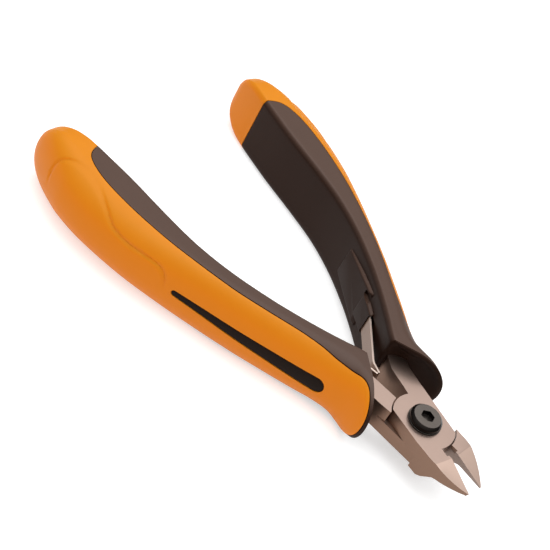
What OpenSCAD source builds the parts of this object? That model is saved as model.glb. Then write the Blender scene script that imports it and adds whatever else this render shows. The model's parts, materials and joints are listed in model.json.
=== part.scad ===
// Diagonal cutting pliers: two lapped steel halves on a socket screw, opened by two leaf springs,
// with two-part moulded grips. X runs along the tool towards the jaw tips, Y across it and Z along the pivot.
// A half is drawn around the pivot with its cutting edge on the XZ plane. The other is its mirror image, with
// its plate on the lower level. Both are swung apart to the open stop and stood on the undersides of the grips.

/* [Opening] */
// Angle between the cutting edges at the open stop
open_angle = 12.5; // [9:0.5:14]

/* [Head] */
// Thickness of the two lapped plates together
head_t = 6.8; // [5.6:0.1:8.2]
// Width of the head across the flats
head_w = 11.7; // [10.8:0.1:12.6]
// Radius of the round shoulders of the lap joint
lap_r = 7.8; // [7.4:0.1:8.2]
// Gap between a plate and the other half's round shoulder
lap_gap = 0.35; // [0.3:0.05:0.6]
// Gap between the two lapped plates
plate_gap = 0.08; // [0.04:0.02:0.2]
// Distance from the pivot to the jaw tips
jaw_reach = 19.2; // [16:0.1:23.2]
// Height of the cutting edge at the tips, above the middle of the head
tip_top = 1.1; // [0.8:0.1:1.4]
// Thickness of the jaws at the tips
tip_t = 0.7; // [0.5:0.1:1]
// Angle of the ground bevel under each cutting edge
bevel_angle = 28; // [20:1:36]
// Depth of the relief at the root of the cutting edges
relief = 0.8; // [0.6:0.1:1]

/* [Pivot] */
// Diameter of the shoulder that the upper half turns on
shoulder_d = 5; // [4.2:0.1:6]
// Diameter of the thread in the lower half
thread_d = 4; // [3.3:0.1:4.1]
// Diameter of the screw head
screw_head_d = 7.9; // [6.6:0.1:8.1]
// Height of the screw head
screw_head_h = 1.5; // [1.2:0.1:1.8]
// Chamfer on the rim of the screw head
screw_chamfer = 0.6; // [0.3:0.1:0.8]
// Width across the flats of the hex socket
socket_af = 3; // [2.5:0.5:3.5]
// Diameter of the washer under the screw head
washer_d = 8.3; // [8.2:0.1:10]
// Thickness of the washer
washer_t = 0.35; // [0.2:0.05:0.5]
// Radial running clearance of the pivot
pivot_clear = 0.04; // [0.02:0.01:0.08]

/* [Tangs] */
// Width of the tang inside the grip
tang_w = 2.6; // [2.1:0.1:3.1]
// Thickness of the tang, measured along the pivot
tang_t = 5.6; // [4.8:0.1:6.8]

/* [Springs] */
// Thickness of the leaf springs
leaf_t = 0.5; // [0.4:0.05:0.6]
// Width of the leaf springs, measured along the pivot
leaf_w = 4.8; // [4:0.1:5.8]
// Diameter of the rivets that hold the springs to the tangs
rivet_d = 1.6; // [1.3:0.1:2]

/* [Grips] */
// Distance along X from the pivot to the ends of the grips, with the jaws closed
grip_reach = 109.4; // [106:0.2:132]
// Full height of the grips, measured along the pivot
grip_h = 17; // [14.2:0.2:20.4]
// Share of the grip's width that its rounded outer side takes
round_share = 0.56; // [0.45:0.01:0.65]
// Thickness of the flange at the front of the grips
flange_t = 1.3; // [1:0.1:1.6]
// Depth that the dark inlay is let into the cover
inlay_depth = 1.2; // [1:0.1:1.4]
// Height that the spring boss stands off the inner face
boss_h = 1.8; // [1.2:0.1:2.4]
// Clearance between a moulded grip and the steel inside it
mould_gap = 0.05; // [0.02:0.01:0.1]

/* [Hidden] */

fine = 96;                       // facets of a round surface
soft = 32;                       // facets of a moulded edge
far = 200;                       // longer than anything that it cuts
through = 1;                     // overrun of a cut past a face
swing = open_angle / 2;          // each half's share of the opening
half_w = head_w / 2;
half_t = head_t / 2;
grip_z = grip_h / 2;
lap_out = lap_r + lap_gap;       // where the other half's plate leaves room

steel = [0.76, 0.66, 0.62];
black = [0.16, 0.15, 0.15];
brown = [0.22, 0.16, 0.14];
orange = [0.88, 0.50, 0.14];

// Outline of the jaw and of the shank
edge_x = 9.9;                    // root of the cutting edge
heel = [7.2, -5.6];              // corner behind the jaw
jaw_bulge = [13.2, -5.6];        // pull of the jaw's outer curve
under_knee = 12.6;               // x where the jaw's underside has risen to the thin blade
tip_w = 0.4;                     // width of the blunt tip
neck_in = 1.05;                  // y of the shank's inner edge at the shoulder
jaw_facet_x = 10.8;              // where the jaw's top starts to fall away
jaw_root_x = 4;                  // x on the head's side that the jaw's outline starts from
shank_root_x = -6;               // x inside the head that the shank's outline starts from
block_rise = 0.2;                // overlap of the jaw and shank's lower level with the plate
join = 0.01;                     // overlap that makes one solid of two
thread_short = 0.1;              // the thread ends this far above the underside

// Centre line of the shank and the tang as [x, y, width], from the head to the tang's end
tang_path = [[-9, 3.7, 5.0], [-14.5, 4.0, 5.0], [-19.5, 5.9, 4.7], [-26, 8.9, 3.6], [-32, 11.3, tang_w],
             [-43, 15.45, tang_w], [-60, 19.4, tang_w], [-76, 20.8, tang_w], [-86, 21, tang_w]];
shank_end = -25;                 // x where the shank thins to the tang

// Sections of the grip as [x, inner y, outer y, height above the middle]
grip_stations = [[-4, 2.4, 11.4, grip_z], [-8, 2.4, 13.4, grip_z], [-11, 2.4, 13.5, grip_z],
                 [-13, 2.4, 12.5, grip_z], [-15.5, 2.4, 11.7, grip_z], [-20, 3.1, 12.4, grip_z],
                 [-26, 5.5, 15.0, grip_z], [-35, 9.5, 18.2, grip_z], [-42, 12.0, 20.7, grip_z],
                 [-52, 14.9, 23.9, grip_z], [-62, 16.6, 27.0, grip_z], [-72, 16.9, 29.7, grip_z],
                 [-84, 16.7, 31.3, grip_z], [-92, 16.9, 30.7, grip_z], [13.4 - grip_reach, 17.1, 29.6, grip_z],
                 [9.4 - grip_reach, 17.4, 28.3, grip_z - 0.3], [5 - grip_reach, 18.1, 26.4, grip_z - 1.1],
                 [1.8 - grip_reach, 19, 24.4, grip_z - 3], [-grip_reach, 20.6, 22.6, 2.5]];
// Line along the top of the grip between the core and the cover, from the rear to the front
split_line = [[-96, 16], [-95.6, 19.6], [-93.4, 22.6], [-89, 24.2], [-80, 24.6], [-63, 23], [-49, 19.7],
              [-40, 16.6], [-26, 11.3], [-20.5, 9.7]];
cover_start = [-12, 7];          // where the split line leaves the grip at its front
cover_end_y = 18;                // y at which the split line leaves the grip at its rear
beyond = 60;                     // y past the outer side of the grip
// Front face of the grip, from the inner side to the outer side
front_in = [-19.8, 2.4];
front_out = [-5.8, 15.6];

// Spring, as places in the open tool: its straight arm, its bend and its tip on the middle plane
leaf_root = [-51, -43.4];        // x of the flat root on the tang, in the half's own frame
leaf_mouth = [-27.1, 8.4];
leaf_bend = [-18.6, 0.9];
leaf_tip_x = -15.6;
leaf_meet = 0.06;                // half the gap between the tips of the two springs
rivet_step = 3.6;                // spacing of the two rivets
rivet_head_h = 0.5;
socket_deep = 1.3;               // depth of the hex socket
inner_edge = 1;                  // bevel along the inner edges of the grip

// Inlay in the cover: its ends along x, its widths there, and its height above the middle
inlay_x = [-57.5, -22.2];
inlay_w = [1.7, 4.4];
inlay_z = [0.4, -0.4];

slice_t = 0.1;                   // thickness of the slices that the grip is drawn through
boss_x = [-47, -33];             // stretch of the inner face that the spring boss covers
boss_sink = 0.4;                 // depth that the boss reaches into the grip
boss_z = 0.62;                   // share of the grip's height that the boss takes
boss_fall = 0.7;                 // share of its height that the boss has at its rear
boss_root = 1;                   // depth of the boss's buried base
mouth_x = [-34, -28.3];          // pocket in front of the boss where the spring comes out
mouth_z = 0.4;                   // share of the grip's height that the pocket takes

function unit(v) = v / norm(v);
function normal(v) = [-v[1], v[0]];
// Place in the half's own frame of a place in the open tool
function to_half(p) = [p[0] * cos(swing) - p[1] * sin(swing), p[0] * sin(swing) + p[1] * cos(swing)];
// Points of an arc around the pivot from one angle to another
function arc(r, from, to, n = 12) = [for (i = [0:n]) r * [cos(from + (to - from) * i / n),
                                                        sin(from + (to - from) * i / n)]];
// Points of a curve from a to c that leaves towards b
function bend(a, b, c, n = 8) = [for (i = [0:n]) let (t = i / n)
                                 (1 - t) * (1 - t) * a + 2 * t * (1 - t) * b + t * t * c];
// Direction of a path at one of its points
function heading(p, i) = unit((i > 0 ? unit(xy(p[i]) - xy(p[i - 1])) : [0, 0])
                              + (i < len(p) - 1 ? unit(xy(p[i + 1]) - xy(p[i])) : [0, 0]));
function xy(p) = [p[0], p[1]];
// Outline of a strip along a path of [x, y, width], widened by grow on both sides
function strip(p, grow = 0) = concat(
    [for (i = [0:len(p) - 1]) xy(p[i]) + normal(heading(p, i)) * (p[i][2] / 2 + grow)],
    [for (i = [len(p) - 1:-1:0]) xy(p[i]) - normal(heading(p, i)) * (p[i][2] / 2 + grow)]);
// Inner side of the grip at x
function inner_y(x) = lookup(-x, [for (s = grip_stations) [-s[0], s[1]]]);
// Middle of the tang at x
function tang_y(x) = lookup(-x, [for (p = tang_path) [-p[0], p[1]]]);

// Every piece is drawn once, as on the upper half, in that half's own frame. These put it in the tool's frame.
last = grip_stations[len(grip_stations) - 1];
tail = grip_reach * cos(swing) - last[1] * sin(swing);
nose = jaw_reach * cos(swing);
pivot_x = (tail - nose) / 2;     // the frame's origin is under the middle of the open tool
module as_upper() { translate([pivot_x, 0, grip_z]) rotate([0, 0, -swing]) children(); }
module as_lower() { translate([pivot_x, 0, grip_z]) mirror([0, 1, 0]) rotate([0, 0, -swing]) children(); }

// Slab of an outline between two heights
module slab(points, z0, z1) { translate([0, 0, z0]) linear_extrude(z1 - z0) polygon(points); }

// ---- Steel half ----

tip_in = [jaw_reach, 0];
tip_out = [jaw_reach - tip_w / 2, -tip_w];
jaw_curve = bend(heel, jaw_bulge, tip_out);
shoulder_in = arc(lap_r, 180 - asin(neck_in / lap_r), 180 + asin(half_w / lap_r));
shoulder_front = arc(lap_r, 0, asin(half_w / lap_r));
tang_strip = strip(tang_path);
function tang_in(i) = tang_strip[i];
function tang_out(i) = tang_strip[2 * len(tang_path) - 1 - i];

// Plate on the half's own level, with its jaw, as far back as the shank's first straight
module plate_outline() {
    polygon(concat([tip_in], shoulder_front, [tang_out(0), tang_out(1), tang_in(1), tang_in(0)],
                   shoulder_in, [[jaw_root_x, -half_w]], jaw_curve));
}
// Jaw and shank on the other level, clear of the other half's plate
module block_outline() {
    difference() {
        polygon(concat([tip_in, [0, 0], [jaw_root_x, -half_w]], jaw_curve));
        circle(lap_out, $fn = fine);
    }
    difference() {
        polygon([tang_in(0), tang_in(1), tang_out(1), tang_out(0), [shank_root_x, half_w],
                 [shank_root_x, neck_in]]);
        circle(lap_out, $fn = fine);
    }
}

// Underside of the jaw as [x, z]: from the heel it rises in a hollow curve to the blade
under_curve = [[8.3, -half_t], [9.6, 0.78 - half_t], [10.7, 1.95 - half_t], [11.7, 2.9 - half_t],
               [under_knee, -0.22], [jaw_reach, tip_top - tip_t]];
// Grinds a jaw: its falling top, its hollow underside, the bevel under the edge and the relief at its root
module jaw_cuts() {
    fall_top = atan((half_t - tip_top) / (jaw_reach - jaw_facet_x));
    translate([jaw_facet_x, 0, half_t]) rotate([0, fall_top, 0])
        translate([0, -far / 2, 0]) cube([far, far, far]);
    translate([0, far / 2, 0]) rotate([90, 0, 0]) linear_extrude(far)
        polygon(concat(under_curve, [[jaw_reach + through, tip_top - tip_t], [jaw_reach + through, -far],
                                     [under_curve[0][0], -far]]));
    translate([jaw_facet_x, 0, half_t]) rotate([0, fall_top, 0]) rotate([-bevel_angle, 0, 0])
        translate([-jaw_facet_x, 0, -far / 2]) cube([far, far, far]);
    translate([0, -relief, -half_t - through]) cube([edge_x, far, head_t + 2 * through]);
}

// The half whose plate is on the upper level, or on the lower one where flip is 1
module steel_half(flip) {
    difference() {
        union() {
            mirror([0, 0, flip]) {
                translate([0, 0, plate_gap / 2]) linear_extrude(half_t - plate_gap / 2) plate_outline();
                translate([0, 0, -half_t]) linear_extrude(half_t + plate_gap / 2 + block_rise)
                    block_outline();
            }
            shank(0);
        }
        intersection() {
            jaw_cuts();
            difference() {
                translate([0, -far / 2, -far / 2]) cube([far, far, far]);
                cylinder(r = lap_r, h = far, center = true, $fn = fine);
            }
        }
    }
}
// Shank and tang, grown by a clearance where they are cut out of the grip
module shank(grow) {
    slab(strip(tang_path, grow), -tang_t / 2 - grow, tang_t / 2 + grow);
    intersection() {
        slab(strip(tang_path, grow), -half_t - grow, half_t + grow);
        translate([shank_end - grow, -far / 2, -far / 2]) cube([far, far, far]);
    }
}

// ---- Pivot ----

// Shoulder screw: the head clamps nothing, since its shoulder stands a little above the upper plate
module screw() {
    head_z = half_t + washer_t;
    difference() {
        union() {
            translate([0, 0, head_z]) rotate_extrude($fn = fine)
                polygon([[0, 0], [screw_head_d / 2, 0], [screw_head_d / 2, screw_head_h - screw_chamfer],
                         [screw_head_d / 2 - screw_chamfer, screw_head_h], [0, screw_head_h]]);
            cylinder(d = shoulder_d, h = head_z + join, $fn = fine);
            translate([0, 0, thread_short - half_t]) cylinder(d = thread_d, h = half_t, $fn = fine);
        }
        translate([0, 0, head_z + screw_head_h - socket_deep])
            cylinder(r = socket_af / sqrt(3), h = socket_deep + through, $fn = 6);
    }
}
module washer() {
    translate([0, 0, half_t]) difference() {
        cylinder(d = washer_d, h = washer_t, $fn = fine);
        translate([0, 0, -through])
            cylinder(d = shoulder_d + 2 * pivot_clear, h = washer_t + 2 * through, $fn = fine);
    }
}

// ---- Spring and rivets ----

tang_face = tang_w / 2;          // from the tang's middle to the face that the spring lies on
tang_lean = atan2(tang_y(leaf_root[1]) - tang_y(leaf_root[0]), leaf_root[1] - leaf_root[0]);
function on_tang(x, off) = [x, tang_y(x) - off / cos(tang_lean)];
leaf_path = [for (p = [on_tang(leaf_root[0], tang_face + leaf_t / 2 + mould_gap),
                       on_tang(leaf_root[1], tang_face + leaf_t / 2 + mould_gap), to_half(leaf_mouth),
                       to_half([leaf_bend[0], leaf_bend[1] + leaf_t / 2]),
                       to_half([leaf_tip_x, leaf_meet + leaf_t / 2])]) [p[0], p[1], leaf_t]];
rivet_x = [for (i = [-0.5, 0.5]) (leaf_root[0] + leaf_root[1]) / 2 + i * rivet_step];

module rivet_holes() {
    for (x = rivet_x) at_rivet(x) translate([0, 0, -tang_w]) cylinder(d = rivet_d, h = 2 * tang_w, $fn = fine);
}
// Frame of a rivet: on the tang's inner face, with +Z out of the face
module at_rivet(x) {
    p = on_tang(x, tang_face);
    translate([p[0], p[1], 0]) rotate([0, 0, tang_lean]) rotate([90, 0, 0]) children();
}
module spring() {
    difference() {
        slab(strip(leaf_path), -leaf_w / 2, leaf_w / 2);
        rivet_holes();
    }
}
module rivets() {
    for (x = rivet_x) at_rivet(x) {
        translate([0, 0, -tang_w])
            cylinder(d = rivet_d, h = tang_w + leaf_t + mould_gap + rivet_head_h, $fn = fine);
        translate([0, 0, leaf_t + mould_gap]) cylinder(d = 2 * rivet_d, h = rivet_head_h, $fn = fine);
    }
}

// ---- Grip ----

// Cross-section of the grip at a station, as a thin slice across X: flat inside, rounded outside
module slice(s) {
    inner = s[1];
    outer = s[2];
    h = s[3];
    r = (outer - inner) * round_share;
    edge = min(inner_edge, h / 2);
    translate([s[0], 0, 0]) rotate([90, 0, 90]) linear_extrude(slice_t)
        polygon(concat([for (a = [-90:15:90]) [outer - r + r * cos(a), h * sin(a)]],
                       [[inner + edge, h], [inner, h - edge], [inner, edge - h], [inner + edge, -h]]));
}
module grip_body() {
    for (i = [0:len(grip_stations) - 2]) hull() {
        slice(grip_stations[i]);
        slice(grip_stations[i + 1]);
    }
}
front_dir = unit(front_out - front_in);
front_back = normal(front_dir);  // from the front face into the grip
// Everything behind the front face, or behind a parallel face some way into the grip
module behind_front(deep) {
    slab([for (k = [-far, far]) front_in + front_back * deep + front_dir * k,
          for (k = [far, -far]) front_in + front_back * far + front_dir * k], -far / 2, far / 2);
}
// What the cover takes of the grip, from the split line outwards
module cover_side() {
    intersection() {
        slab(concat(split_line, [cover_start, [beyond / 3, beyond], [-far, beyond], [-far, cover_end_y]]),
             -far / 2, far / 2);
        behind_front(flange_t);
    }
}
module cavity() {
    shank(mould_gap);
    slab(strip(leaf_path, mould_gap), -leaf_w / 2 - mould_gap, leaf_w / 2 + mould_gap);
    for (x = rivet_x) at_rivet(x) {
        translate([0, 0, -tang_w - through]) cylinder(d = 2 * rivet_d + 2 * mould_gap, $fn = soft,
                                                      h = tang_w + through + leaf_t + 2 * mould_gap + rivet_head_h);
    }
    pocket();
}
// Pocket in the inner face where the spring comes out, open to the other handle
module pocket() {
    z = grip_z * mouth_z;
    slab([[mouth_x[0], leaf_y(mouth_x[0]) + leaf_t], [mouth_x[1], leaf_y(mouth_x[1]) + leaf_t],
          [mouth_x[1], -far / 4], [mouth_x[0], -far / 4]], -z, z);
}
function leaf_y(x) = lookup(x, [for (i = [0:2]) [leaf_path[i][0], leaf_path[i][1]]]);
// Raised boss on the inner face over the root of the spring
module boss() {
    z = grip_z * boss_z;
    a = [boss_x[0], inner_y(boss_x[0]) + boss_sink];
    b = [boss_x[1], inner_y(boss_x[1]) + boss_sink];
    top = boss_h + boss_sink;
    hull() {
        slab([a, b, b + [0, boss_root], a + [0, boss_root]], -z - boss_h, z + boss_h);
        slab([a + [2 * boss_h, -top * boss_fall], b + [0, -top], b + [0, boss_root],
              a + [2 * boss_h, boss_root]], -z, z);
    }
}
module core() {
    difference() {
        union() {
            grip_body();
            boss();
        }
        cover_side();
        cavity();
        difference() {
            cube(2 * far, center = true);
            behind_front(0);
        }
    }
}
// Slot in the outer face that widens towards the head, cut along Y
module inlay_shape() {
    rotate([-90, 0, 0]) linear_extrude(far) hull() for (k = [0, 1])
        translate([inlay_x[k], -inlay_z[k]]) circle(d = inlay_w[k], $fn = soft);
}
// Grip shrunk across its outer side, which leaves the floor of the slot
module under_inlay() { translate([0, -inlay_depth, 0]) grip_body(); }
module cover() {
    difference() {
        intersection() {
            grip_body();
            cover_side();
        }
        difference() {
            inlay_shape();
            under_inlay();
        }
    }
}
module inlay() {
    difference() {
        intersection() {
            grip_body();
            cover_side();
            inlay_shape();
        }
        under_inlay();
    }
}

// ---- The two sides of the tool ----

module upper_half() {
    color(steel) as_upper() difference() {
        steel_half(0);
        rivet_holes();
        cylinder(d = shoulder_d + 2 * pivot_clear, h = half_t + through, $fn = fine);
    }
}
module lower_half() {
    color(steel) as_lower() difference() {
        steel_half(1);
        rivet_holes();
        translate([0, 0, -half_t - through]) cylinder(d = thread_d, h = half_t + through, $fn = fine);
    }
}
module pivot_screw() { color(black) as_upper() screw(); }
module pivot_washer() { color(black) as_upper() washer(); }
module lower_spring() { color(steel) as_lower() spring(); }
module upper_spring() { color(steel) as_upper() spring(); }
module lower_spring_rivets() { color(steel) as_lower() rivets(); }
module upper_spring_rivets() { color(steel) as_upper() rivets(); }
module lower_grip_core() { color(brown) as_lower() core(); }
module upper_grip_core() { color(brown) as_upper() core(); }
module lower_grip_cover() { color(orange) as_lower() cover(); }
module upper_grip_cover() { color(orange) as_upper() cover(); }
module lower_grip_inlay() { color(black) as_lower() inlay(); }
module upper_grip_inlay() { color(black) as_upper() inlay(); }

lower_half();
upper_half();
pivot_screw();
pivot_washer();
lower_spring();
upper_spring();
lower_spring_rivets();
upper_spring_rivets();
lower_grip_core();
upper_grip_core();
lower_grip_cover();
upper_grip_cover();
lower_grip_inlay();
upper_grip_inlay();
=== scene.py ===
import json
import math

import bmesh
import bpy
import numpy as np
from mathutils import Matrix, Vector
from mathutils.bvhtree import BVHTree


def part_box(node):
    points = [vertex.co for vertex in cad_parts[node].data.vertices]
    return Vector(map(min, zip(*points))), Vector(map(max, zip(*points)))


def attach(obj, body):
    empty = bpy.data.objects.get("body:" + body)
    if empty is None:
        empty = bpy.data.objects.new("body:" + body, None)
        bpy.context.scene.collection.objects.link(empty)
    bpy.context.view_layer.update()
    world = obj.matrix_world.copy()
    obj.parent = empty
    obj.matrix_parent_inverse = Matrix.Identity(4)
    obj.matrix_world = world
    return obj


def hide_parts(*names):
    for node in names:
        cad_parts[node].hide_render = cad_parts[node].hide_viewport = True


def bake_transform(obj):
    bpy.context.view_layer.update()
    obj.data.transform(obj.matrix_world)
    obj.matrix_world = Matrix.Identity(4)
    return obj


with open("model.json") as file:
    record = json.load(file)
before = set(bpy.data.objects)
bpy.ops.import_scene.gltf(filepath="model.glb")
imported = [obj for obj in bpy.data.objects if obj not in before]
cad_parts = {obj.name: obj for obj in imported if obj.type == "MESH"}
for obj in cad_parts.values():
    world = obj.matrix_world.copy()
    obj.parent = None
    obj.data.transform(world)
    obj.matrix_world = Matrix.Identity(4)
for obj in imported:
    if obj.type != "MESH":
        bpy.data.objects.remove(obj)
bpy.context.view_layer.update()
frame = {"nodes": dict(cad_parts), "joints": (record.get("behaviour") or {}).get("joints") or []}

MM = 0.001
JOINT = frame["joints"][0]
PIVOT = Vector(JOINT["pos_m"])
SWING = math.radians(JOINT["range_deg"][1] / 2)


# ---- From a half's own frame, in mm with the pivot at the origin, to the row frame ----

def to_frame(points, side):
    p = np.asarray(points, float)
    c, s = math.cos(SWING), math.sin(SWING)
    x = p[:, 0] * c + p[:, 1] * s
    y = -p[:, 0] * s + p[:, 1] * c
    if side == "lower":
        y = -y
    return np.stack([x, y, p[:, 2]], 1) * MM + np.array(PIVOT)


def new_object(name, points, faces):
    mesh = bpy.data.meshes.new(name)
    mesh.from_pydata([tuple(p) for p in points], [], faces)
    mesh.validate()
    obj = bpy.data.objects.new(name, mesh)
    bpy.context.scene.collection.objects.link(obj)
    return obj


def close(mesh, merge=0.0):
    """Merges doubled points and turns all faces outwards."""
    bm = bmesh.new()
    bm.from_mesh(mesh)
    if merge:
        bmesh.ops.remove_doubles(bm, verts=bm.verts, dist=merge)
    bmesh.ops.recalc_face_normals(bm, faces=bm.faces)
    bm.to_mesh(mesh)
    bm.free()


SHARP = 32                       # degrees between faces from which a moulded edge shows as sharp


def place(name, source, side):
    """A copy of a mesh drawn in the half's own frame, on the upper or the lower half."""
    mesh = source.copy()
    mesh.name = name
    co = np.empty(len(mesh.vertices) * 3)
    mesh.vertices.foreach_get("co", co)
    mesh.vertices.foreach_set("co", to_frame(co.reshape(-1, 3), side).ravel())
    if side == "lower":
        mesh.flip_normals()
    mesh.polygons.foreach_set("use_smooth", [True] * len(mesh.polygons))
    mesh.set_sharp_from_angle(angle=math.radians(SHARP))
    mesh.update()
    obj = bpy.data.objects.new(name, mesh)
    bpy.context.scene.collection.objects.link(obj)
    return obj


# ---- Curves ----

def smooth_path(points, step):
    """Points along a smooth curve through the given ones, about a step apart."""
    p = np.asarray(points, float)
    t = np.concatenate([[0], np.cumsum(np.linalg.norm(np.diff(p, axis=0), axis=1))])
    m = np.zeros_like(p)
    m[1:-1] = (p[2:] - p[:-2]) / (t[2:] - t[:-2])[:, None]
    m[0] = (p[1] - p[0]) / (t[1] - t[0])
    m[-1] = (p[-1] - p[-2]) / (t[-1] - t[-2])
    out = []
    for i in range(len(p) - 1):
        gap = t[i + 1] - t[i]
        for u in np.arange(0, 1, 1 / max(2, round(gap / step))):
            a, b = 2 * u**3 - 3 * u**2 + 1, u**3 - 2 * u**2 + u
            c, d = -2 * u**3 + 3 * u**2, u**3 - u**2
            out.append(a * p[i] + b * gap * m[i] + c * p[i + 1] + d * gap * m[i + 1])
    out.append(p[-1])
    return np.array(out)


def rounded_corners(points, radius, n=6):
    """An open path with each corner replaced by a short curve."""
    p = np.asarray(points, float)
    out = [p[0]]
    for a, b, c in zip(p[:-2], p[1:-1], p[2:]):
        u, v = (a - b) / np.linalg.norm(a - b), (c - b) / np.linalg.norm(c - b)
        for t in np.linspace(0, 1, n):
            out.append(b + u * radius * (1 - t) ** 2 + v * radius * t**2)
    out.append(p[-1])
    return np.array(out)


# ---- Cutting ----

def prism(name, outline, low, high, axis="z"):
    """A straight solid on an outline. Along y, the outline is in x and z."""
    n = len(outline)
    if axis == "z":
        points = [(x, y, low) for x, y in outline] + [(x, y, high) for x, y in outline]
    else:
        points = [(x, low, z) for x, z in outline] + [(x, high, z) for x, z in outline]
    faces = [tuple(range(n)), tuple(range(2 * n - 1, n - 1, -1))]
    faces += [(i, i + n, (i + 1) % n + n, (i + 1) % n) for i in range(n)]
    obj = new_object(name, points, faces)
    close(obj.data)
    return obj


def cut(target, tool, operation):
    """A new mesh: the target object after a boolean with the tool object."""
    mod = target.modifiers.new("cut", "BOOLEAN")
    mod.operation = operation
    mod.solver = "EXACT"
    mod.object = tool
    bpy.context.view_layer.update()
    depsgraph = bpy.context.evaluated_depsgraph_get()
    result = bpy.data.meshes.new_from_object(target.evaluated_get(depsgraph))
    target.modifiers.clear()
    return result


def drop(*objs):
    for o in objs:
        bpy.data.objects.remove(o)


# ---- The moulded grip ----

GRIP_H = (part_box("upper_grip_core")[1].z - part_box("upper_grip_core")[0].z) / MM / 2
# inner x, inner y, outer x, outer y, half height, share of the width that is round
STATIONS = [
    (-19.8, 2.4, -6.8, 12.55, GRIP_H, 0.6),
    (-20.5, 2.65, -8.5, 12.85, GRIP_H, 0.6),
    (-21.3, 3.0, -11.3, 12.15, GRIP_H, 0.62),
    (-22.7, 3.7, -15.4, 11.4, GRIP_H, 0.66),
    (-25.2, 5.0, -20.0, 12.35, GRIP_H, 0.68),
    (-29.5, 7.05, -26.5, 14.9, GRIP_H, 0.66),
    (-35.5, 9.65, -34.5, 17.9, GRIP_H, 0.65),
    (-42, 12.1, -42, 20.6, GRIP_H, 0.63),
    (-52, 15.0, -52, 23.8, GRIP_H, 0.6),
    (-62, 16.65, -62, 27.0, GRIP_H, 0.58),
    (-72, 16.9, -72, 29.65, GRIP_H, 0.55),
    (-84, 16.65, -84, 31.1, GRIP_H, 0.53),
    (-92, 16.85, -92, 30.55, GRIP_H, 0.53),
    (-96.3, 17.05, -96.3, 29.3, GRIP_H, 0.53),
    (-100.0, 17.35, -100.0, 27.9, GRIP_H - 0.15, 0.53),
    (-103.5, 17.9, -103.5, 26.3, GRIP_H - 0.9, 0.52),
    (-106.4, 18.6, -106.4, 24.7, GRIP_H - 2.6, 0.5),
    (-108.1, 19.8, -108.1, 23.2, GRIP_H - 5.0, 0.5),
    (-108.7, 21.2, -108.7, 21.6, 0.3, 0.5),
]
CREASE = (0.95, 1.5)             # size of the soft bevel along the inner edges, across and along the pivot
CREASE_SHARE = (0.22, 0.35)      # most of the grip's width and half height that the bevel may take
SQUARE = (1.35, 0.96)            # how square the inner bevel and the rounded outer side are drawn


def section(w, h, share):
    """Outline of the grip's cross-section, from the lower inner corner up and round, as (across, height)."""
    r = w * share
    cw, cz = min(CREASE[0], w * CREASE_SHARE[0]), min(CREASE[1], h * CREASE_SHARE[1])
    flat = [(0.0, z) for z in np.linspace(cz - h, h - cz, 15)[1:-1]]
    turn = np.radians(np.linspace(0, 90, 10))
    upper = [(cw - cw * math.cos(a) ** SQUARE[0], h - cz + cz * math.sin(a) ** SQUARE[0]) for a in turn]
    top = [(x, h) for x in np.linspace(cw, w - r, 9)[1:-1]]
    arc = np.radians(np.linspace(90, -90, 71))
    outer = [(w - r + r * math.cos(a) ** SQUARE[1], math.copysign(h * abs(math.sin(a)) ** SQUARE[1], a))
             for a in arc]
    half = upper + top
    return np.array(flat + half + outer + [(x, -z) for x, z in half[::-1]])


FRONT = np.array(STATIONS[0][2:4]) - STATIONS[0][:2]
AHEAD = np.array([FRONT[1], -FRONT[0], 0.0]) / np.linalg.norm(FRONT)   # out of the grip's front face
# Profile of the hollow front face, as inset from the rim and height over it
DISH = ((0.3, 0.16), (0.65, 0.22), (1.0, 0.18), (1.4, 0.0), (1.9, -0.35), (2.6, -0.8), (3.8, -1.25),
        (5.2, -1.5), (6.8, -1.6))
DISH_SPAN = 7.6                  # inset that stands for the middle of the face
BACKING = 0.75                   # thickness of the core that lies between the hollow and the cover
BACKING_FRONT = (1.0, 2.5)       # front ring of the block that keeps the cover out of the hollow


def dish_rings(front, profile):
    """Rings drawn in from the front rim along a profile."""
    centre = front.mean(0)
    d = centre - front
    reach = np.linalg.norm(d, axis=1)[:, None]
    return [front + d / reach * np.minimum(inset, reach * (inset / DISH_SPAN)) + AHEAD * dip
            for inset, dip in profile]


def skin(rings):
    """Faces between closed rings of points, with both ends closed."""
    n = len(rings[0])
    faces = []
    for k in range(len(rings) - 1):
        a, b = k * n, (k + 1) * n
        faces += [(a + i, a + (i + 1) % n, b + (i + 1) % n, b + i) for i in range(n)]
    last = (len(rings) - 1) * n
    return faces + [tuple(range(n - 1, -1, -1)), tuple(last + i for i in range(n))]


def grip_mesh():
    """Points and faces of the whole grip, and of the block behind its hollow front face."""
    rows = smooth_path(STATIONS, 0.55)
    rings = []
    for ix, iy, ox, oy, h, share in rows:
        inner, outer = np.array([ix, iy]), np.array([ox, oy])
        w = np.linalg.norm(outer - inner)
        across = (outer - inner) / w
        s = section(w, h, share)
        rings.append(np.column_stack([inner + s[:, :1] * across, np.clip(s[:, 1], -GRIP_H, GRIP_H)]))
    front = rings[0]
    rings = dish_rings(front, DISH)[::-1] + rings
    backing = [(inset, dip - BACKING) for inset, dip in DISH if inset >= BACKING_FRONT[0]]
    plug = dish_rings(front, backing)[::-1] + dish_rings(front, [BACKING_FRONT])
    return (np.concatenate(rings), skin(rings)), (np.concatenate(plug), skin(plug))


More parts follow.
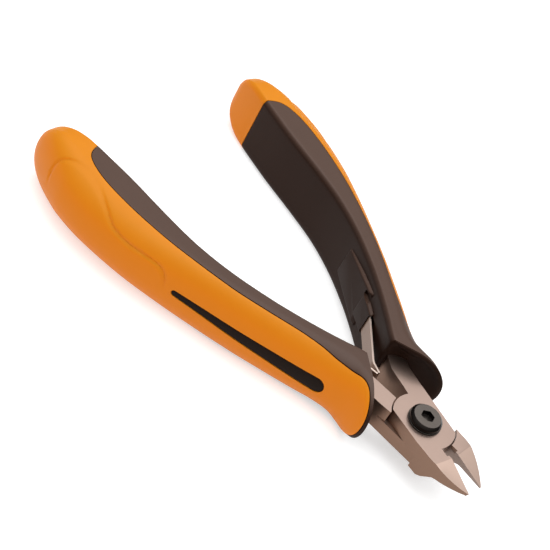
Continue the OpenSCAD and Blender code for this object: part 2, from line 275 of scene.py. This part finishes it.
# Line of the fine groove round the palm pad, in x and z
PAD = [(-97.5, -1.3), (-98.3, 2.0), (-98.3, 4.6), (-97.3, 6.3), (-95.4, 7.4), (-93.2, 7.9), (-89.5, 8.1),
       (-84.8, 7.6), (-80.7, 6.4), (-77.3, 4.9), (-74.2, 4.3), (-71.2, 4.1), (-67.2, 4.3), (-63.8, 4.2),
       (-62.0, 3.3), (-61.0, 2.0), (-60.1, -0.7)]
GROOVE_DEPTH, GROOVE_W = 0.42, 0.34
GROOVE_FADE = 2.5                # length over which the groove runs out at its ends
GROOVE_REACH = 1.2               # distance from its line at which the groove has died away
OUTER_Y = 19                     # the outer face lies past this y along the pad


def groove(points):
    """The points of the grip, with the groove sunk into the outer face."""
    line = smooth_path(PAD, 0.3)
    ends = np.minimum(np.linalg.norm(line - line[0], axis=1), np.linalg.norm(line - line[-1], axis=1))
    fade = np.clip(ends / GROOVE_FADE, 0, 1)
    rear, front = line[:, 0].min() - GROOVE_REACH, line[:, 0].max() + GROOVE_REACH
    near = np.flatnonzero((points[:, 0] < front) & (points[:, 0] > rear) & (points[:, 1] > OUTER_Y))
    for i in near:
        gap = np.hypot(line[:, 0] - points[i, 0], line[:, 1] - points[i, 2])
        k = gap.argmin()
        if gap[k] < GROOVE_REACH:
            points[i, 1] -= GROOVE_DEPTH * fade[k] * math.exp(-(gap[k] / GROOVE_W) ** 2)
    return points


# Line between the core and the cover, seen along the pivot
SPLIT = [(-96.2, 10), (-96.2, 15), (-95.9, 18.5), (-94.6, 21.3), (-92, 22.9), (-87, 24.0), (-80, 24.2),
         (-72, 23.7), (-63, 22.4), (-49, 19.1), (-40, 16.1), (-32, 13.1), (-26, 11.15), (-22, 10.15),
         (-19, 9.4), (-16.6, 9.0), (-14.6, 8.95), (-12.9, 9.4), (-11.2, 10.25), (-8, 12.5), (-3, 16.4)]
FAR = (-130, 70)                 # a corner past the grip's rear and outer side
TALL = 20                        # height past the grip's top
SEAM = 0.1                       # half the width of the seam between core and cover
INLAY = ((-57.5, 0.4, 0.85), (-22.2, -0.4, 2.2))   # x, z and radius of its two ends


def split_prism(name, shift):
    """Everything on the cover's side of the split line, which is moved outwards by shift."""
    path = smooth_path(SPLIT, 0.7)
    d = np.gradient(path, axis=0)
    d /= np.linalg.norm(d, axis=1)[:, None]
    path = path + np.column_stack([-d[:, 1], d[:, 0]]) * shift
    outline = [tuple(p) for p in path] + [(SPLIT[-1][0], FAR[1]), FAR, (FAR[0], SPLIT[0][1])]
    return prism(name, outline, -TALL, TALL)


def inlay_outline(grow):
    """Two round ends of unlike size with straight sides between, in x and z, widened by grow."""
    (x0, z0, r0), (x1, z1, r1) = INLAY
    lean = math.atan2(z1 - z0, x1 - x0)
    turn = math.pi / 2 + math.asin((r1 - r0) / math.hypot(x1 - x0, z1 - z0))

    def rim(t, a):
        """Point at the angle a round a place that lies the share t of the way from the wide end."""
        r = r1 + (r0 - r1) * t + grow
        return x1 + (x0 - x1) * t + r * math.cos(lean + a), z1 + (z0 - z1) * t + r * math.sin(lean + a)

    along = np.linspace(0, 1, 60)[1:-1]
    wide, narrow = np.linspace(-turn, turn, 36), np.linspace(turn, 2 * math.pi - turn, 24)
    return ([rim(0, a) for a in wide] + [rim(t, turn) for t in along]
            + [rim(1, a) for a in narrow] + [rim(1 - t, -turn) for t in along])


# Crown of the inlay, as the share of the way to its edge and the depth under the grip's surface
INLAY_CROWN = ((0.0, 0.05), (0.3, 0.05), (0.55, 0.06), (0.75, 0.08), (0.88, 0.12), (0.96, 0.2), (1.0, 0.34))
SLOT_Y = (5, 60)                 # stretch of y that the inlay's slot is cut through
INLAY_GAP = 0.07                 # gap between the inlay and the slot's sides
INLAY_DEEP = 0.75                # depth of its sides
INLAY_Y = 12.0                   # its y where no surface lies over it


def inlay_mesh(tree):
    """The dark strip, laid a little under the grip's outer surface, with a softly rounded rim."""
    (x0, z0, _), (x1, z1, _) = INLAY
    edge = np.array(inlay_outline(-INLAY_GAP))
    axis = np.array([x1 - x0, z1 - z0])
    t = np.clip(((edge - (x0, z0)) @ axis) / (axis @ axis), 0, 1)
    spine = np.array([x0, z0]) + t[:, None] * axis
    layers = []
    for share, sink in INLAY_CROWN:
        ring = spine + (edge - spine) * share
        row = []
        for x, z in ring:
            hit = tree.ray_cast(Vector((x, FAR[1], z)), Vector((0, -1, 0)))[0]
            row.append((x, (hit.y if hit else INLAY_Y) - sink, z))
        layers.append(row)
    layers.append([(x, y - INLAY_DEEP, z) for x, y, z in layers[-1]])
    n = len(edge)
    points = [p for row in layers for p in row]
    faces = []
    for k in range(len(layers) - 1):
        a, b = k * n, (k + 1) * n
        faces += [(a + i, b + i, b + (i + 1) % n, a + (i + 1) % n) for i in range(n)]
    faces.append(tuple(len(points) - 1 - i for i in range(n)))
    obj = new_object("inlay_source", points, faces)
    close(obj.data, merge=0.004)
    mesh = obj.data.copy()
    drop(obj)
    return mesh


def soft_block(name, corners, width):
    """A convex block through the given corners with rounded edges."""
    mesh = bpy.data.meshes.new(name)
    bm = bmesh.new()
    for c in corners:
        bm.verts.new(c)
    hull = bmesh.ops.convex_hull(bm, input=bm.verts)
    inside = [g for g in hull["geom_interior"] if isinstance(g, bmesh.types.BMVert)]
    bmesh.ops.delete(bm, geom=inside, context="VERTS")
    bmesh.ops.dissolve_limit(bm, angle_limit=math.radians(2), verts=bm.verts, edges=bm.edges)
    bmesh.ops.bevel(bm, geom=list(bm.edges), offset=width, segments=3, affect="EDGES", profile=0.6)
    bmesh.ops.triangulate(bm, faces=bm.faces)
    bmesh.ops.recalc_face_normals(bm, faces=bm.faces)
    bm.to_mesh(mesh)
    bm.free()
    obj = bpy.data.objects.new(name, mesh)
    bpy.context.scene.collection.objects.link(obj)
    return obj


# Forms on the inner face over the spring's root, as [x, y, half height] of their corners
BOSS = ((-50.2, 16.2, 4.6), (-34.0, 10.6, 6.4), (-49.2, 13.9, 4.0), (-34.0, 8.8, 5.8), (-45.0, 12.45, 3.4),
        (-35.4, 8.75, 5.2))
LIP = ((-36.5, 12.0, 4.2), (-30.0, 9.2, 4.0), (-36.5, 9.1, 3.5), (-30.1, 6.4, 3.2))
MOUTH = ((-30.7, 8.3, 3.0), (-27.9, 7.2, 3.0), (-27.8, 3.0, 3.0), (-30.6, 3.0, 3.0))
# Small hollow at the boss's front corner, as [x, y] of its corners and its two heights
PIT = ((-36.4, 10.1), (-33.4, 8.7), (-33.0, 6.0), (-36.8, 7.0))
PIT_Z = (3.1, 5.0)
MERGE = 0.0005                   # distance under which two points of the grip are one


def both_ways(corners):
    """Corners at their half height under the middle plane and over it."""
    return [(x, y, k * h) for k in (-1, 1) for x, y, h in corners]


def make_grip():
    """Meshes of the core, the cover and the inlay."""
    body, backing = grip_mesh()
    plain, plug = new_object("grip_plain", *body), new_object("front_backing", *backing)
    for obj in (plug, plain):
        close(obj.data, merge=MERGE)
    bm = bmesh.new()
    bm.from_mesh(plain.data)
    tree = BVHTree.FromBMesh(bm)
    bm.free()
    co = np.empty(len(plain.data.vertices) * 3)
    plain.data.vertices.foreach_get("co", co)
    plain.data.vertices.foreach_set("co", groove(co.reshape(-1, 3)).ravel())
    plain.data.update()

    outside, inside = split_prism("outside", SEAM), split_prism("inside", -SEAM)
    for side in (outside, inside):
        side.data = cut(side, plug, "DIFFERENCE")
    slot = prism("slot", inlay_outline(0.0), *SLOT_Y, axis="y")
    cover = new_object("cover", [], [])
    cover.data = cut(plain, outside, "INTERSECT")
    cover.data = cut(cover, slot, "DIFFERENCE")
    core = new_object("core", [], [])
    core.data = cut(plain, inside, "DIFFERENCE")
    tools = (
        (soft_block("boss", both_ways(BOSS), 0.35), "UNION"),
        (soft_block("lip", both_ways(LIP), 0.5), "UNION"),
        (soft_block("mouth", both_ways(MOUTH), 0.3), "DIFFERENCE"),
        (soft_block("pit", [(x, y, z) for z in PIT_Z for x, y in PIT], 0.7), "DIFFERENCE"),
    )
    for tool, operation in tools:
        core.data = cut(core, tool, operation)
    meshes = core.data.copy(), cover.data.copy(), inlay_mesh(tree)
    drop(plain, plug, outside, inside, slot, cover, core, *(tool for tool, _ in tools))
    return meshes


# ---- Leaf spring ----

def half_of(x, y):
    """Place in a half's own frame of a place in the open tool, both in mm."""
    c, s = math.cos(SWING), math.sin(SWING)
    return x * c - y * s, x * s + y * c


LEAF_W, LEAF_T = 4.8, 0.5
LEAF_EDGE = 0.08                 # size of the broken edges
LEAF_BEND = 0.7                  # how far from a corner its bend starts
# Path from the hidden root to the tip, which bears on the other spring
LEAF_PATH = [(-51.0, 15.6), (-45.5, 14.4), (-31.5, 7.87), half_of(-18.6, 1.15), half_of(-15.6, 0.31)]


def spring_mesh():
    """The leaf, as a strip with broken edges along its path."""
    line = rounded_corners(LEAF_PATH, LEAF_BEND)
    d = np.gradient(line, axis=0)
    d /= np.linalg.norm(d, axis=1)[:, None]
    normal = np.column_stack([-d[:, 1], d[:, 0]])
    w, t, b = LEAF_W / 2, LEAF_T / 2, LEAF_EDGE
    outline = [(-w + b, -t), (w - b, -t), (w, -t + b), (w, t - b),
               (w - b, t), (-w + b, t), (-w, t - b), (-w, -t + b)]
    points, faces = [], []
    for p, m in zip(line, normal):
        points += [(p[0] + m[0] * off, p[1] + m[1] * off, z) for z, off in outline]
    n = len(outline)
    for k in range(len(line) - 1):
        a, c = k * n, (k + 1) * n
        faces += [(a + i, a + (i + 1) % n, c + (i + 1) % n, c + i) for i in range(n)]
    faces += [tuple(range(n - 1, -1, -1)), tuple(range(len(points) - n, len(points)))]
    obj = new_object("spring_source", points, faces)
    close(obj.data)
    mesh = obj.data.copy()
    drop(obj)
    return mesh


# ---- Materials ----

def linear(*rgb):
    """Scene colour of a colour given from 0 to 255."""
    return tuple((c / 255 / 12.92) if c <= 10 else ((c / 255 + 0.055) / 1.055) ** 2.4 for c in rgb) + (1,)


def ramp(tree, value, low=0.0, high=1.0, span=(0.0, 1.0)):
    """Socket that runs over the span while the value goes from low to high."""
    node = tree.nodes.new("ShaderNodeMapRange")
    for name, number in (("From Min", low), ("From Max", high), ("To Min", span[0]), ("To Max", span[1])):
        node.inputs[name].default_value = number
    tree.links.new(value, node.inputs["Value"])
    return node.outputs["Result"]


def between(tree, share, a, b):
    """Socket that is the colour a where the share is 0 and b where it is 1. Either may be a socket."""
    node = tree.nodes.new("ShaderNodeMix")
    node.data_type = "RGBA"
    tree.links.new(share, node.inputs["Factor"])
    for name, colour in (("A", a), ("B", b)):
        if isinstance(colour, bpy.types.NodeSocket):
            tree.links.new(colour, node.inputs[name])
        else:
            node.inputs[name].default_value = colour
    return node.outputs["Result"]


def noise(tree, where, scale, detail):
    node = tree.nodes.new("ShaderNodeTexNoise")
    node.inputs["Scale"].default_value = scale
    node.inputs["Detail"].default_value = detail
    tree.links.new(where, node.inputs["Vector"])
    return node.outputs["Fac"]


BROAD = 14                       # size of a material's mottling over the size of its grain
ROUGH_SPREAD = 0.06              # how far the grain moves the roughness either way
FACET_HIGHLIGHT_Z = (0.97, 0.998)          # upward lean of a face over which the painted highlight of a tilted facet gives way to the flat's colour


def material(name, base, rough, metallic=0.0, grain=900.0, grain_depth=0.02, mottle=0.06, stretch=(1, 1, 1),
             spec=0.5, shaded_side=None, shaded_side_spec=None, facet_highlight=None, steep=(0.35, 0.8)):
    """A grained material. The sides of a piece can take a painted shade colour and a lower gloss, and its
    slightly tilted facets a painted highlight colour, both set by how far a face points up.
    """
    mat = bpy.data.materials.new(name)
    mat.use_nodes = True
    tree = mat.node_tree
    nodes, links = tree.nodes, tree.links
    shader = nodes["Principled BSDF"]
    shader.inputs["Metallic"].default_value = metallic
    shader.inputs["Specular IOR Level"].default_value = spec
    place_node, mapping = nodes.new("ShaderNodeTexCoord"), nodes.new("ShaderNodeMapping")
    mapping.inputs["Scale"].default_value = stretch
    links.new(place_node.outputs["Object"], mapping.inputs["Vector"])
    fine = noise(tree, mapping.outputs["Vector"], grain, 4)
    broad = noise(tree, mapping.outputs["Vector"], grain / BROAD, 3)
    darker = tuple(c * (1 - mottle) for c in base[:3]) + (1,)
    lighter = tuple(min(1, c * (1 + mottle)) for c in base[:3]) + (1,)
    tone_and_painted_light = between(tree, broad, darker, lighter)
    # Painted light by how far a face points up: slightly tilted facets get a painted highlight colour, and steep
    # sides a painted shade colour and lower gloss.
    if shaded_side:
        facing, level = nodes.new("ShaderNodeNewGeometry"), nodes.new("ShaderNodeSeparateXYZ")
        links.new(facing.outputs["True Normal"], level.inputs["Vector"])
        upward = ramp(tree, level.outputs["Z"], *steep)
        if facet_highlight:
            tone_and_painted_light = between(tree, ramp(tree, level.outputs["Z"], *FACET_HIGHLIGHT_Z), facet_highlight, tone_and_painted_light)
        tone_and_painted_light = between(tree, upward, shaded_side, tone_and_painted_light)
        if shaded_side_spec is not None:
            links.new(ramp(tree, upward, span=(shaded_side_spec, spec)), shader.inputs["Specular IOR Level"])
    links.new(tone_and_painted_light, shader.inputs["Base Color"])
    links.new(ramp(tree, fine, span=(rough - ROUGH_SPREAD, rough + ROUGH_SPREAD)), shader.inputs["Roughness"])
    bump = nodes.new("ShaderNodeBump")
    bump.inputs["Strength"].default_value = 0.5
    bump.inputs["Distance"].default_value = grain_depth * MM
    links.new(fine, bump.inputs["Height"])
    links.new(bump.outputs["Normal"], shader.inputs["Normal"])
    return mat


# Painted light below: each base colour is that of the up-facing faces, the side colours are painted shade (on
# the orange a painted change of tone on the sides), the screw's steep range paints its chamfer dark as shade,
# and the steel's facet colour is a painted highlight.
STEEL = material("steel", linear(164, 142, 131), 0.36, metallic=1.0, grain=2600, grain_depth=0.006, mottle=0.05,
                 shaded_side=linear(124, 98, 83), facet_highlight=linear(181, 157, 144))
SPRING_STEEL = material("spring_steel", linear(236, 214, 200), 0.3, metallic=0.5, grain=2600, grain_depth=0.004,
                        mottle=0.05, stretch=(0.15, 1, 1), shaded_side=linear(122, 92, 73))
BLACK = material("black_oxide", linear(88, 82, 77), 0.24, metallic=0.9, grain=3000, grain_depth=0.004,
                 mottle=0.08, shaded_side=linear(30, 26, 23), steep=(0.8, 0.97))
BROWN = material("grip_brown", linear(71, 48, 36), 0.5, grain=3200, grain_depth=0.012, mottle=0.06, spec=0.36,
                 shaded_side=linear(42, 25, 17), shaded_side_spec=0.08)
ORANGE = material("grip_orange", linear(204, 123, 8), 0.45, grain=3000, grain_depth=0.008, mottle=0.03,
                  spec=0.18, shaded_side=linear(213, 119, 12), shaded_side_spec=0.12)
INLAY_DARK = material("inlay_dark", linear(27, 17, 11), 0.5, grain=3200, grain_depth=0.012, mottle=0.08,
                      spec=0.06)


def dress(obj, mat):
    obj.data.materials.clear()
    obj.data.materials.append(mat)


# ---- Build ----

core_mesh, cover_mesh, inlay_source = make_grip()
spring_source = spring_mesh()
MOULDED = (("core", core_mesh, BROWN, "grip_brown"), ("cover", cover_mesh, ORANGE, "grip_orange"),
           ("inlay", inlay_source, INLAY_DARK, "inlay_dark"))
for side in ("upper", "lower"):
    for part, mesh, mat, slot in MOULDED:
        node = f"{side}_grip_{part}"
        piece = place(f"{node}_look", mesh, side)
        dress(piece, mat)
        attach(piece, side)
        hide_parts(node)
    leaf = place(f"{side}_spring_look", spring_source, side)
    dress(leaf, SPRING_STEEL)
    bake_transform(leaf)
    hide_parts(f"{side}_spring")

WELD = 0.002                     # mm between points of the CAD mesh that are one
FLAT = 0.6                       # degrees between faces of the CAD mesh that are one
EDGE = 28                        # degrees from which an edge is broken


def refine(node, width, mat):
    """Breaks the edges of a CAD node."""
    obj = frame["nodes"][node]
    weld = obj.modifiers.new("weld", "WELD")
    weld.merge_threshold = WELD * MM
    flat = obj.modifiers.new("flat", "DECIMATE")
    flat.decimate_type = "DISSOLVE"
    flat.angle_limit = math.radians(FLAT)
    bevel = obj.modifiers.new("bevel", "BEVEL")
    bevel.width = width * MM
    bevel.segments = 2
    bevel.limit_method = "ANGLE"
    bevel.angle_limit = math.radians(EDGE)
    bevel.harden_normals = True
    obj.data.polygons.foreach_set("use_smooth", [True] * len(obj.data.polygons))
    normals = obj.modifiers.new("normals", "WEIGHTED_NORMAL")
    normals.keep_sharp = True
    dress(obj, mat)


for node in ("upper_half", "lower_half"):
    refine(node, 0.15, STEEL)
refine("pivot_screw", 0.12, BLACK)
refine("pivot_washer", 0.06, BLACK)
for node in ("upper_spring_rivets", "lower_spring_rivets"):
    refine(node, 0.06, SPRING_STEEL)

# ---- Stage, light and camera ----

FLOOR = 3                        # half the width of the light table, in metres
floor = new_object("floor", [(-FLOOR, -FLOOR, 0), (FLOOR, -FLOOR, 0), (FLOOR, FLOOR, 0), (-FLOOR, FLOOR, 0)],
                   [(0, 1, 2, 3)])
floor.location.z = -0.0002
table = material("light_table", (0.62, 0.62, 0.62, 1), 0.6, grain=60, grain_depth=0.0, mottle=0.0, spec=0.1)
glow = table.node_tree.nodes["Principled BSDF"].inputs
glow["Emission Color"].default_value = (1, 1, 1, 1)
glow["Emission Strength"].default_value = 0.55
floor.data.materials.append(table)

KEY_PLACE, KEY_SIZE, KEY_POWER = Vector((-0.12, 0.1, 0.7)), 0.9, 2.4
data = bpy.data.lights.new("key", "AREA")
data.shape = "RECTANGLE"
data.size = data.size_y = KEY_SIZE
data.energy = KEY_POWER
key = bpy.data.objects.new("key", data)
key.location = KEY_PLACE
key.rotation_euler = (-KEY_PLACE).to_track_quat("-Z", "Y").to_euler()
bpy.context.scene.collection.objects.link(key)

# A dome that is bright overhead and falls away to the horizon
DOME = (0.08, 2.1)
DOME_FALL = 1.8
world = bpy.data.worlds.new("studio")
bpy.context.scene.world = world
world.use_nodes = True
wn, wl = world.node_tree.nodes, world.node_tree.links
direction, height = wn.new("ShaderNodeTexCoord"), wn.new("ShaderNodeSeparateXYZ")
falloff = wn.new("ShaderNodeMath")
wl.new(direction.outputs["Generated"], height.inputs["Vector"])
falloff.operation = "POWER"
falloff.use_clamp = True
wl.new(height.outputs["Z"], falloff.inputs[0])
falloff.inputs[1].default_value = DOME_FALL
wn["Background"].inputs["Color"].default_value = (1, 1, 1, 1)
wl.new(ramp(world.node_tree, falloff.outputs["Value"], span=DOME), wn["Background"].inputs["Strength"])
bpy.context.scene.view_settings.view_transform = "Standard"

# The camera looks down along the tool from behind its handles
AZ, EL, ROLL = math.radians(27.7), math.radians(40.3), math.radians(30.7)
DIST = 380.0                     # from the pivot, in mm
AIM = (32.19, 34.99)             # how far left of the pivot and above it the middle of the view lies, in mm
SENSOR, LENS = 36, 110.19        # in mm
u = Vector((math.cos(AZ), math.sin(AZ), 0))
v = Vector((-math.sin(AZ), math.cos(AZ), 0))
forward = v * math.cos(EL) - Vector((0, 0, math.sin(EL)))
up = v * math.sin(EL) + Vector((0, 0, math.cos(EL)))
right = u * math.cos(ROLL) + up * math.sin(ROLL)
down = u * math.sin(ROLL) - up * math.cos(ROLL)
camera = bpy.data.objects.new("camera", bpy.data.cameras.new("camera"))
bpy.context.scene.collection.objects.link(camera)
bpy.context.scene.camera = camera
place_cam = PIVOT - (right * AIM[0] + down * AIM[1] + forward * DIST) * MM
m = Matrix((right, -down, -forward)).transposed().to_4x4()
m.translation = place_cam
camera.matrix_world = m
camera.data.sensor_width = SENSOR
camera.data.lens = LENS
camera.data.clip_start = 0.01
camera.data.dof.use_dof = False
